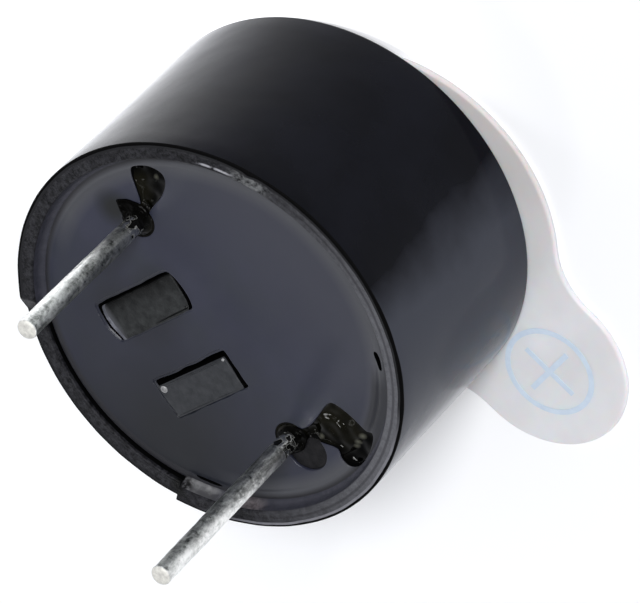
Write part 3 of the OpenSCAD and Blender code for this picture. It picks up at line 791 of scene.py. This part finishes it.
# The ports that the sealant was poured into: 1 beside the positive lead, -1 the negative
PORTS = {
    1: curved_outline([
        (3.5, -0.02), (3.78, 0.02), (3.82, 0.55), (4.1, 0.86), (4.42, 1.2), (4.72, 1.12),
        (5.0, 1.2), (5.1, 1.5), (4.96, 1.92), (4.66, 2.4), (4.42, 2.6), (4.28, 2.46),
        (3.74, 2.32), (3.26, 2.1), (3.16, 1.86), (3.34, 1.36), (3.52, 0.8)]),
    -1: mirrored(curved_outline([
        (3.5, 0.02), (3.76, 0), (3.98, 0.4), (4.38, 0.6), (4.8, 0.76), (5.02, 0.94),
        (4.94, 1.3), (4.76, 1.58), (4.48, 1.74), (4.2, 1.62), (3.94, 1.22), (3.78, 0.7)])),
}
# A shallow pocket beside the positive lead; the leads' holes and the seats of their beads
POCKETS = {1: circle(LEAD_X + 0.5, 0.2, 0.62, 64)}
HOLES = {side: circle(side * LEAD_X, 0, HOLE_R, 48) for side in (1, -1)}
SEATS = {side: circle(side * LEAD_X, 0, BEAD_R, 48) for side in (1, -1)}
# Sealant smeared on the face of the cover round each lead
SMEARS = {
    1: uneven(rounded_outline([
        (3.27, -0.26), (3.62, -0.56), (4.0, -0.45), (4.08, 0.05), (3.8, 0.56), (3.42, 0.52),
        (3.25, 0.1)]), 0.09, 3),
    -1: uneven(rounded_outline([
        (-4.46, -0.22), (-4.1, -0.34), (-3.7, -0.4), (-3.34, -0.36), (-3.24, -0.12),
        (-3.34, 0.12), (-3.5, 0.26), (-3.66, 0.5), (-4.04, 0.46), (-4.26, 0.16)]), 0.1, 8),
}
# Short deep nicks near the cover's edge
SLITS = [
    rounded_outline([
        (2.32, 4.42), (2.36, 4.36), (2.88, 4.18), (2.96, 4.24), (2.64, 4.43), (2.4, 4.5)], 3),
    rounded_outline([
        (3.46, -3.86), (3.6, -3.82), (4.0, -3.42), (4.12, -3.22), (4.04, -3.26), (3.8, -3.5),
        (3.56, -3.74)], 3),
]


def cut_depth(distance, depth, edge, wall):
    """Depth of a cut with a rounded upper edge, at a distance outside its outline."""
    if edge == 0:
        return depth * np.clip(-distance / wall, 0, 1)
    steep = edge + (depth - edge) * np.clip(-distance / wall, 0, 1)
    sides = np.where(distance >= 0, round_edge(distance, edge), steep)
    return np.where(distance >= edge, 0, sides)


def cut_loops(line, edge, wall):
    """The lines that a cut's rounded edge and wall need."""
    if edge == 0:
        return [line, grown(line, -wall)]
    return [grown(line, d) for d in (edge + 0.02, edge, edge * 0.6, edge * 0.28, edge * 0.08,
                                     0.0, -wall)]


def groove(points):
    """Depth of the faint ring near the cover's edge, and the rise of the band outside it."""
    radius = away(points, 0, RING_Y)
    heading = np.degrees(np.arctan2(points[:, 1] - RING_Y, points[:, 0]))
    strong = np.array([0.12 + 1.5 * bump_at(h, 40, 34) + 0.7 * bump_at(h, -25, 40)
                       + 0.6 * bump_at(h, 180, 45) for h in heading])
    line = strong * RING_DEPTH * np.exp(-((radius - RING_R) / RING_W) ** 2)
    rise = RING_RISE * np.clip((radius - RING_R + 0.1) / (COVER_R - RING_R), 0, 1)
    return line - rise * np.clip(points[:, 1] / 2 + 1, 0, 1)


def cover_cuts():
    """The cover's cuts, each as (outline, depth, rounded edge, wall)."""
    through = Z_BASE - Z_COVER_INNER
    cuts = []
    for line in WINDOWS:
        rebate = grown(line, REBATE_W) - (REBATE_SHIFT, 0)
        cuts += [(line, through, CUT_EDGE, CUT_WALL), (rebate, REBATE_DEPTH, CUT_EDGE, REBATE_WALL)]
    for side in (1, -1):
        cuts += [(PORTS[side], through, PORT_EDGE, CUT_WALL),
                 (HOLES[side], through, CUT_EDGE, CUT_WALL),
                 (SEATS[side], Z_BASE - Z_SEALANT, CUT_EDGE, CUT_WALL)]
    cuts.append((POCKETS[1], POCKET_DEPTH, PORT_EDGE, CUT_WALL))
    return cuts + [(line, SLIT_DEPTH, 0, CUT_WALL) for line in SLITS]


def build_base_cover():
    cuts = cover_cuts()
    loops = []
    for line, _, edge, wall in cuts:
        loops += cut_loops(line, edge, wall)
    loops += [circle(0, 0, COVER_R - d, 300)
              for d in (0, 0.008, 0.025, COVER_BEVEL, COVER_BEVEL + 0.03)]
    loops += [circle(0, 0, SKIRT_R + d, 240) for d in (0, 0.01)]
    loops += [circle(0, RING_Y, RING_R + d * RING_W, 240) for d in (-2, -1, -0.5, 0, 0.5, 1, 2)]
    spread = [(x, y) for x, y in lattice((-5.2, -5.2), (5.3, 5.3), 0.2) if x * x + y * y < 5.2 ** 2]
    points, triangles = triangulate(loops, spread)

    radius = away(points)
    depth = groove(points) + 0.006 * waves(points, 0.6, 11)
    depth = np.clip(depth + 0.006, 0, None) * (radius < COVER_R - COVER_BEVEL)
    for line, deep, edge, wall in cuts:
        depth = np.maximum(depth, cut_depth(signed_distance(points, line), deep, edge, wall))
    depth = np.maximum(depth, round_edge(COVER_R - radius, COVER_BEVEL))
    top = np.maximum(Z_BASE - depth, Z_COVER_INNER + 0.002)
    bottom = np.where(radius > SKIRT_R + 0.005, Z_BOARD_BACK, Z_COVER_INNER)

    middle = centres(points, triangles)
    openings = [*WINDOWS, *PORTS.values()]
    gone = inside_any(middle, [*openings, *HOLES.values()], CUT_WALL)
    keep = (away(middle) < COVER_R) & ~(gone & (away(middle) < SKIRT_R))
    verts, faces, count = solid_from_field(points, triangles, keep, top, bottom)
    # Faces in the openings and slits, and the walls within the skirt, take the painted shade black.
    shaded = inside_any(middle, openings + SLITS, 0.001)
    walls = [int(np.linalg.norm(verts[list(f), :2].mean(axis=0)) < SKIRT_R - 0.05)
             for f in faces[2 * count:]]
    indices = shaded[keep].astype(int).tolist() + [0] * count + walls
    make_piece("base_plate", verts, faces, ["cover_plastic", "painted_shade_black"],
               ["base_cover"], indices, sharp=32)


build_base_cover()

# ------ sealant


def sealant_top(side, points, inside):
    """Height of the sealant: low in the port, smeared on the face, heaped round the lead."""
    radius = away(points)
    swell, lumps, fine = (waves(points, scale, seed * side)
                          for scale, seed in ((1.5, 7), (3.0, 3), (9.0, 1)))
    wet = np.minimum(-inside["port"], BORE_R - radius)
    climb = 0.045 * np.exp(-np.clip(wet, 0, None) / 0.06)
    gutter = np.clip((radius - 4.6) / 0.45, 0, 1)
    top = Z_SEALANT - 0.06 + climb + 0.05 * swell + 0.05 * lumps + 0.003 * fine
    top -= 0.1 * gutter ** 2 * (3 - 2 * gutter)
    pocket_top = Z_BASE - POCKET_DEPTH + 0.07 + 0.012 * lumps + 0.004 * fine
    top = np.where((inside["pocket"] < 1e-4) & (inside["port"] > 1e-4), pocket_top, top)
    smear = np.clip(-inside["smear"], 0, 0.1) / 0.1
    film = Z_BASE - 0.004 + (0.075 + 0.05 * lumps) * np.sqrt(1 - (1 - smear) ** 2)
    top = np.where(inside["smear"] < 1e-4, np.maximum(top, film), top)
    reach = 0.16 + 0.05 * lumps
    share = np.clip(1 - (np.clip(away(points, side * LEAD_X) - WIRE_R, 0, None) / reach), 0, 1)
    bead = Z_BASE + (BEAD_H - 0.08) * share * (0.85 + 0.5 * lumps)
    top = np.where(share > 0, np.maximum(top, bead), top)
    return np.minimum(top, Z_SEALANT + BEAD_H)


def build_sealant(side):
    lines = {"port": PORTS[side], "hole": HOLES[side], "seat": SEATS[side], "smear": SMEARS[side]}
    if side in POCKETS:
        lines["pocket"] = POCKETS[side]
    loops = list(lines.values()) + [circle(0, 0, BORE_R, 300)]
    loops += [circle(side * LEAD_X, 0, WIRE_R + d, 48) for d in (0, 0.03, 0.08, 0.13, 0.18)]
    for line in lines.values():
        loops += [grown(line, -d) for d in (0.015, 0.04, 0.09)]
    every = np.vstack(list(lines.values()))
    points, triangles = triangulate(loops, lattice(every.min(axis=0), every.max(axis=0), 0.05))
    inside = {"pocket": np.full(len(points), np.inf)}
    inside |= {key: signed_distance(points, line) for key, line in lines.items()}
    top = sealant_top(side, points, inside)
    bottom = np.where(inside["pocket"] < 1e-4, Z_BASE - POCKET_DEPTH, Z_BASE - 0.012)
    bottom[np.minimum(inside["port"], inside["hole"]) < 1e-4] = Z_COVER_INNER

    middle = centres(points, triangles)
    keep = inside_any(middle, lines.values())
    keep &= (away(middle) < BORE_R) & (away(middle, side * LEAD_X) > WIRE_R)
    verts, faces, count = solid_from_field(points, triangles, keep, top, bottom)
    finish = np.zeros(len(middle), int)
    if side in POCKETS:
        matte = inside_any(middle, [POCKETS[side]], 0.02)
        finish[matte & (signed_distance(middle, PORTS[side]) > 0.02)] = 1
    finish[inside_any(middle, [SMEARS[side]])] = 2
    indices = 2 * finish[keep].tolist() + [0] * (len(faces) - 2 * count)
    name = "positive" if side > 0 else "negative"
    make_piece("glue_" + name, verts, faces, ["sealant", "sealant_matte", "sealant_dark"],
               ["sealant_" + name], indices, sharp=75)


for side in (1, -1):
    build_sealant(side)

# ------ components


def body_top(line, points, face, rise, seed, flecks):
    """Height of a body's face, with its rounded edges, its pits and its flecks of tin."""
    low, high = line.min(axis=0), line.max(axis=0)
    inside = -signed_distance(points, line)
    lumps = waves(points, 2.5, seed)
    pits = waves(points, 7.0, seed + 3)
    across = (points[:, 0] - low[0]) / (high[0] - low[0])
    across = np.maximum(across, np.clip(1 - (points[:, 1] - low[1]) / 0.5, 0, 1))
    top = face + rise * across ** 0.6 - round_edge(inside, BODY_EDGE) * (1 - across ** 3)
    top += 0.012 * (lumps - 0.5) - 0.05 * np.clip(pits - 0.4, 0, 1) * (inside > BODY_EDGE)
    for x, y, radius in flecks:
        share = away(points, x, y) / radius
        dome = 0.45 * radius * np.sqrt(np.clip(1 - share ** 2, 0, 1))
        top = np.where(share < 1, face + 0.02 + dome * (1 + 0.5 * lumps), top)
    return top


def build_body(node, name, line, rise, seed, flecks, finish="component_black", cap=0):
    """A moulded body in its window: its face comes up by rise to the window's flush sides, and
    a metal end shows within cap of its far end. Flecks of tin are (x, y, radius)."""
    (_, _, bottom), (_, _, face) = node_box(node)
    loops = [grown(line, -d) for d in (0, 0.006, 0.018, 0.032, BODY_EDGE, BODY_EDGE + 0.04)]
    loops += [circle(x, y, radius * share, 20) for x, y, radius in flecks
              for share in (1.0, 0.93, 0.75, 0.4)]
    far = line[:, 1].mean()
    if cap:
        ends = line[line[:, 1] < far] + (0, cap)
        loops.append(np.vstack([ends, ends[::-1] + (0, 1.2)]))
    points, triangles = triangulate(loops, lattice(line.min(axis=0), line.max(axis=0), 0.05))
    middle = centres(points, triangles)
    keep = inside_any(middle, [line])
    verts, faces, count = solid_from_field(points, triangles, keep,
                                           body_top(line, points, face, rise, seed, flecks),
                                           np.full(len(points), bottom))
    upper = middle[keep]
    finishes = np.zeros(count, int)
    if cap:
        finishes[(signed_distance(upper - (0, cap), line) > 0) & (upper[:, 1] < far)] = 1
    for x, y, radius in flecks:
        finishes[away(upper, x, y) < radius] = 3
    # The body's side walls take the painted shade black.
    make_piece(name, verts, faces, [finish, "cap_metal", "painted_shade_black", "fleck"],
               [node], finishes.tolist() + [2] * (len(faces) - count))


build_body("transistor_body", "transistor_case", TRANSISTOR, 0.05, 2.0,
           [(0.92, -2.94, 0.11), (0.85, -0.44, 0.045)])
build_body("diode_body", "diode_case", DIODE, 0.16, 5.0, [(-0.88, -0.44, 0.035)],
           "diode_black", cap=0.1)

# ------ leads


def lead_ring(side, z, tip, columns):
    """The points round a lead at one height."""
    tinned = 1 / (1 + math.exp(-(z - Z_TIN - 0.02) / 0.05))
    radius = WIRE_R + (LEAD_R - WIRE_R) * tinned
    if z > tip - TIP_ROUND:
        t = (z - (tip - TIP_ROUND)) / TIP_ROUND
        radius -= TIP_ROUND * (1 - math.sqrt(max(1 - t * t, 0)))
    ring = []
    for c in range(columns):
        t = 2 * math.pi * c / columns
        x, y = math.cos(t), math.sin(t)
        broad = wobble(x, y, z * 0.8 + 0.09 * side, 1.6, 4 * side)
        fine = wobble(x * 2, y * 2, z, 3.2, 9)
        r = radius - (0.01 + 0.014 * abs(broad) + 0.005 * fine) * tinned * (z < tip - 0.1)
        ring.append((side * LEAD_X + r * x, r * y, z))
    return ring


def build_lead(side, node):
    """A dip-tinned lead whose tin is uneven along and round the wire."""
    (_, _, bottom), (_, _, tip) = node_box(node)
    columns = 48
    heights = [bottom] + list(np.arange(Z_SEALANT, tip - TIP_ROUND, 0.05))
    heights += [tip - d for d in (TIP_ROUND, 0.09, 0.06, 0.035, 0.015, 0.004, 0)]
    verts, faces, indices = [], [], []
    for z in heights:
        verts += lead_ring(side, z, tip, columns)
    top = len(verts) - columns
    for z, start in zip(heights, range(0, top, columns)):
        for c in range(columns):
            a, b = start + c, start + (c + 1) % columns
            faces.append((a, b, b + columns, a + columns))
        indices += [1 if z < Z_TIN - 0.02 else 2 if z > tip - CUT_END else 0] * columns
    faces += [tuple(reversed(range(columns))), tuple(range(top, top + columns))]
    make_piece(node.replace("lead", "pin"), verts, faces,
               ["lead_wire", "lead_wire_bare", "cut_end"], [node],
               indices + [1, 2], sharp=60)


build_lead(1, "lead_positive")
build_lead(-1, "lead_negative")

# ------ wash seal


def in_seal_frame(points):
    """Points given along and across the seal's tab, turned and moved into place."""
    c, s = unit(TAB_HEADING)
    return np.asarray(points) @ np.array([(c, s), (-s, c)]) + (SEAL_X, SEAL_Y)


def arc(cx, cy, r, start, end, count):
    t = np.linspace(start, end, count)
    return np.column_stack([cx + r * np.cos(t), cy + r * np.sin(t)])


def seal_outline():
    fillet_y = TAB_R + TAB_FILLET
    fillet_x = math.sqrt((DISC_R + TAB_FILLET) ** 2 - fillet_y ** 2)
    meet = math.atan2(fillet_y, fillet_x)
    tab = arc(TAB_REACH, 0, TAB_R, -math.pi / 2, math.pi / 2, 60)
    upper = arc(fillet_x, fillet_y, TAB_FILLET, -math.pi / 2, meet - math.pi, 30)
    disc = arc(0, 0, DISC_R, meet, 2 * math.pi - meet, 160)
    lower = arc(fillet_x, -fillet_y, TAB_FILLET, math.pi - meet, math.pi / 2, 30)
    line = in_seal_frame(np.vstack([tab, upper[1:], disc[1:], lower[1:-1]]))
    return resample(line, 0.12)


def build_seal():
    line = seal_outline()
    loops = [grown(line, -d) for d in (0, 0.008, 0.024, 0.048, SEAL_EDGE, SEAL_EDGE + 0.05)]
    points, triangles = triangulate(loops, lattice((-5, -5), (9, 7), 0.3))
    drop = round_edge(-signed_distance(points, line), SEAL_EDGE)
    free = np.clip((away(points) - CASE_R + 0.2) / 0.8, 0, 1)
    top = SEAL_T - drop - free * 0.018 * (0.5 + 0.5 * waves(points, 0.55, 1))
    bottom = np.minimum(drop, SEAL_T / 2 - 0.01)
    middle = centres(points, triangles)
    keep = signed_distance(middle, line) < 0
    verts, faces, _ = solid_from_field(points, triangles, keep, top, bottom)
    make_piece("seal_label", verts, faces, ["seal_film"], ["seal"])


def build_print():
    """The ring and the plus sign, on both faces of the film."""
    cx, cy = in_seal_frame([(MARK_REACH, 0)])[0]
    outer, inner = circle(cx, cy, MARK_R, 120), circle(cx, cy, MARK_R - STROKE_W, 120)
    half, thin = PLUS_SPAN / 2, STROKE_W / 2
    arm, cross = [(half, -thin), (half, thin), (thin, thin)], []
    for _ in range(4):
        cross += arm
        arm = [(-y, x) for x, y in arm]
    cross = in_seal_frame(np.array(cross) + (MARK_REACH, 0))
    verts, faces = [], []
    for low, high in ((0.0, INK_T), (SEAL_T - INK_T, SEAL_T + INK_PROUD)):
        first = len(verts)
        for line, z in ((outer, low), (inner, low), (inner, high), (outer, high)):
            verts += [(x, y, z) for x, y in line]
        faces += [tuple(first + v for v in face) for face in grid_faces(4, len(outer))]
        first = len(verts)
        verts += [(x, y, z) for z in (low, high) for x, y in cross]
        n = len(cross)
        faces.append(tuple(first + n - 1 - i for i in range(n)))
        faces.append(tuple(first + n + i for i in range(n)))
        for i in range(n):
            a, b = first + i, first + (i + 1) % n
            faces.append((a, b, b + n, a + n))
    make_piece("seal_print", verts, faces, ["print_ink"], ["polarity_print"])


build_seal()
build_print()

# ------ pieces inside the case

for subpart in frame["record"]["subparts"]:
    node = frame["nodes"][subpart["node"]]
    for material_slot in node.material_slots:
        material_slot.material = MATERIALS[subpart["material_slot"]]

# ------ floor, light and camera


FLOOR_HALF = 3000 * MM
FLOOR_COLOR = (0.955, 0.963, 0.99)
FLOOR_WHITE = 0.16
SKY_COLOR = (0.952, 0.966, 1)
SKY_HORIZON = 1.05
SKY_OVERHEAD = 0.26


def build_floor():
    """Pale floor that the camera sees a little whiter than it is lit."""
    mesh = bpy.data.meshes.new("floor")
    corners = [(x * FLOOR_HALF, y * FLOOR_HALF, 0) for x, y in ((-1, -1), (1, -1), (1, 1), (-1, 1))]
    mesh.from_pydata(corners, [], [(0, 1, 2, 3)])
    add_object("floor", mesh)
    n = Nodes(bpy.data.materials.new("floor"))
    mesh.materials.append(n.finish(FLOOR_COLOR, rough=0.9, spec=0.0))
    direct, mirrored_ray = (n.add("LightPath", ray, {}) for ray in ("Is Camera Ray", "Is Glossy Ray"))
    white = n.add("Emission", "Emission", {"Color": (1, 1, 1)})
    both = n.add("MixShader", "Shader",
                 {0: n.times(n.math("MAXIMUM", direct, mirrored_ray), FLOOR_WHITE),
                  1: n.tree.nodes["Principled BSDF"].outputs["BSDF"], 2: white})
    n.put(n.tree.nodes["Material Output"], "Surface", both)


def build_world():
    """A soft sky: white at the horizon and darker overhead."""
    world = bpy.data.worlds.new("world")
    bpy.context.scene.world = world
    n = Nodes(world)
    view = n.add("TexCoord", "Generated", {})
    height = n.add("SeparateXYZ", "Z", {0: view})
    strength = n.remap(height, 0.05, 0.95, SKY_HORIZON, SKY_OVERHEAD)
    strength.node.interpolation_type = "SMOOTHSTEP"
    back = n.tree.nodes["Background"]
    n.put(back, "Strength", strength)
    n.put(back, "Color", SKY_COLOR)


def aim(obj, toward, roll=0):
    """Turns an object so that its back faces a direction, and rolls it by some degrees."""
    obj.rotation_mode = "QUATERNION"
    rolled = Quaternion((0, 0, 1), math.radians(roll))
    obj.rotation_quaternion = toward.to_track_quat("Z", "Y") @ rolled


def build_sun(name, heading, elevation, strength, angle):
    """Light from a direction, whose source is some degrees wide."""
    data = bpy.data.lights.new(name, "SUN")
    data.energy = strength
    data.angle = math.radians(angle)
    aim(add_object(name, data), direction(heading, elevation))


def build_spot(name, place, target, power, cone, size):
    """A soft spot lamp, placed and aimed in millimetres."""
    data = bpy.data.lights.new(name, "SPOT")
    data.energy = power
    data.spot_size = math.radians(cone)
    data.spot_blend = 0.8
    data.shadow_soft_size = size * MM
    lamp = add_object(name, data)
    lamp.location = Vector(place) * MM
    aim(lamp, Vector(place) - Vector(target))


def build_camera(target, heading, elevation, roll, distance, lens):
    """Long lens at the height and heading of the reference view, rolled to match it."""
    data = bpy.data.cameras.new("camera")
    data.sensor_width = 36
    data.lens = lens
    data.clip_start = 10 * MM
    data.clip_end = 20000 * MM
    camera = add_object("camera", data)
    toward = direction(heading, elevation)
    camera.location = Vector(target) * MM + toward * (distance * MM)
    aim(camera, toward, roll)
    bpy.context.scene.camera = camera


build_floor()
build_world()
build_sun("key", heading=113, elevation=50, strength=2.42, angle=16)
build_spot("floor_left", (-24, -10, 16), (-10.5, -3, 0), power=0.055, cone=40, size=3)
build_sun("sparkle", heading=300, elevation=62, strength=0.18, angle=5)
build_camera((1.37, 0.62, 3.5), heading=105.25, elevation=44.6, roll=-135.82, distance=180.2,
             lens=373.5)

bpy.context.scene.view_settings.view_transform = "Standard"
